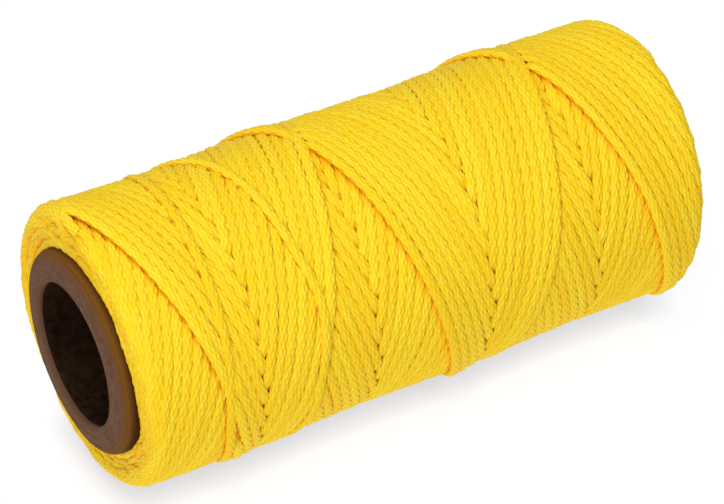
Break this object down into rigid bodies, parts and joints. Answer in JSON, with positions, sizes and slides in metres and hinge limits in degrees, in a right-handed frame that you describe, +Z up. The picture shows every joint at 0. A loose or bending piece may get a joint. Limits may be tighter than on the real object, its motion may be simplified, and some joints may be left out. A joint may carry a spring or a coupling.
{
  "type": "fishing line spool",
  "caption": "Roll of yellow braided line, cross-wound on an open paperboard core that stands a little proud at both ends.",
  "frame": {"origin": "middle of the core's bore, on its axis; the roll lies on its side", "axes": "+X along the core towards the end with the larger rounded shoulder, +Z up, +Y to the back"},
  "size_m": [0.112, 0.0504, 0.0503],
  "materials": {
    "core_paper": "matte brown core paper",
    "core_board": "matte grey-brown board, cut edge",
    "braided_line": "bright yellow braided synthetic fibre with a soft sheen"
  },
  "bodies": {
    "root": {"core_liner": "core_paper", "core_ply_1": "core_board", "core_ply_2": "core_board", "core_ply_3": "core_board", "core_ply_4": "core_board", "core_ply_5": "core_board", "core_wrap": "core_paper", "line_under_layers": "braided_line", "line_outer_layer": "braided_line"}
  },
  "joints": []
}
